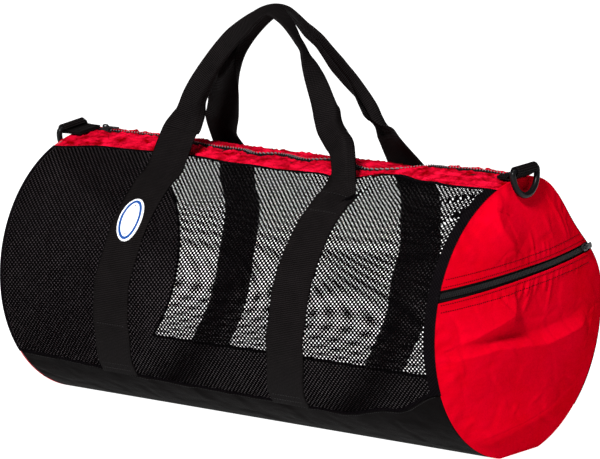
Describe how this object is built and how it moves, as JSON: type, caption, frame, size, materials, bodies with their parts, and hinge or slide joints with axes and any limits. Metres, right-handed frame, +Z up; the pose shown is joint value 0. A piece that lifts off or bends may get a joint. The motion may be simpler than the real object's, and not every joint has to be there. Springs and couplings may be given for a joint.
{
  "type": "mesh duffel bag",
  "caption": "Barrel duffel bag with see-through net walls, nylon ends and base, a zipped top, an end pocket, webbing carrying handles and D-rings for a shoulder strap.",
  "frame": {"origin": "on the floor, under the middle of the bag, on the flat strip that it rests on", "axes": "+X along the bag towards the end with the pocket, -Y towards the front with the label patch, +Z up"},
  "size_m": [0.6479, 0.3221, 0.4679],
  "materials": {
    "red_nylon": "coated plain-weave nylon with a soft sheen",
    "black_nylon": "coated plain-weave nylon",
    "black_net": "knitted polyester net",
    "webbing": "ribbed polypropylene webbing",
    "zip_tape": "woven zip tape",
    "zip_teeth": "moulded zip teeth",
    "zip_metal": "dark plated die-cast metal",
    "ring_plastic": "glossy moulded plastic",
    "label_cloth": "bare woven patch with a stitched edge"
  },
  "bodies": {
    "bag": {"bottom_panel": "black_nylon", "mesh_front": "black_net", "mesh_back": "black_net", "placket_front": "red_nylon", "placket_back": "red_nylon", "zip_tape_front": "zip_tape", "zip_tape_back": "zip_tape", "zip_chain": "zip_teeth", "zip_slider": "zip_metal", "end_panel_left": "red_nylon", "end_panel_right": "red_nylon", "pocket_panel": "red_nylon", "pocket_tape_upper": "zip_tape", "pocket_tape_lower": "zip_tape", "pocket_chain": "zip_teeth", "pocket_slider": "zip_metal", "tab_left": "webbing", "tab_right": "webbing", "handle_front": "webbing", "handle_back": "webbing", "label_patch": "label_cloth"},
    "left_ring": {"d_ring_left": "ring_plastic"},
    "right_ring": {"d_ring_right": "ring_plastic"},
    "main_pull": {"zip_pull": "zip_metal"},
    "end_pull": {"pocket_pull": "zip_metal"}
  },
  "joints": [
    {"name": "left_ring_swing", "type": "hinge", "parent": "bag", "child": "left_ring", "pos_m": [-0.316, -0.01865, 0.30599], "axis": [0, 0.9941, 0.1083], "range_deg": [0, 160]},
    {"name": "right_ring_swing", "type": "hinge", "parent": "bag", "child": "right_ring", "pos_m": [0.3126, -0.00605, 0.31392], "axis": [0, -0.9992, -0.0396], "range_deg": [0, 160]},
    {"name": "main_pull_lift", "type": "hinge", "parent": "bag", "child": "main_pull", "pos_m": [-0.2815, 0.00081, 0.3054], "axis": [0, -1, 0.0047], "range_deg": [0, 120]},
    {"name": "end_pull_lift", "type": "hinge", "parent": "bag", "child": "end_pull", "pos_m": [0.31071, 0.11908, 0.2111], "axis": [0.1995, 0.066, -0.9777], "range_deg": [0, 120]}
  ]
}
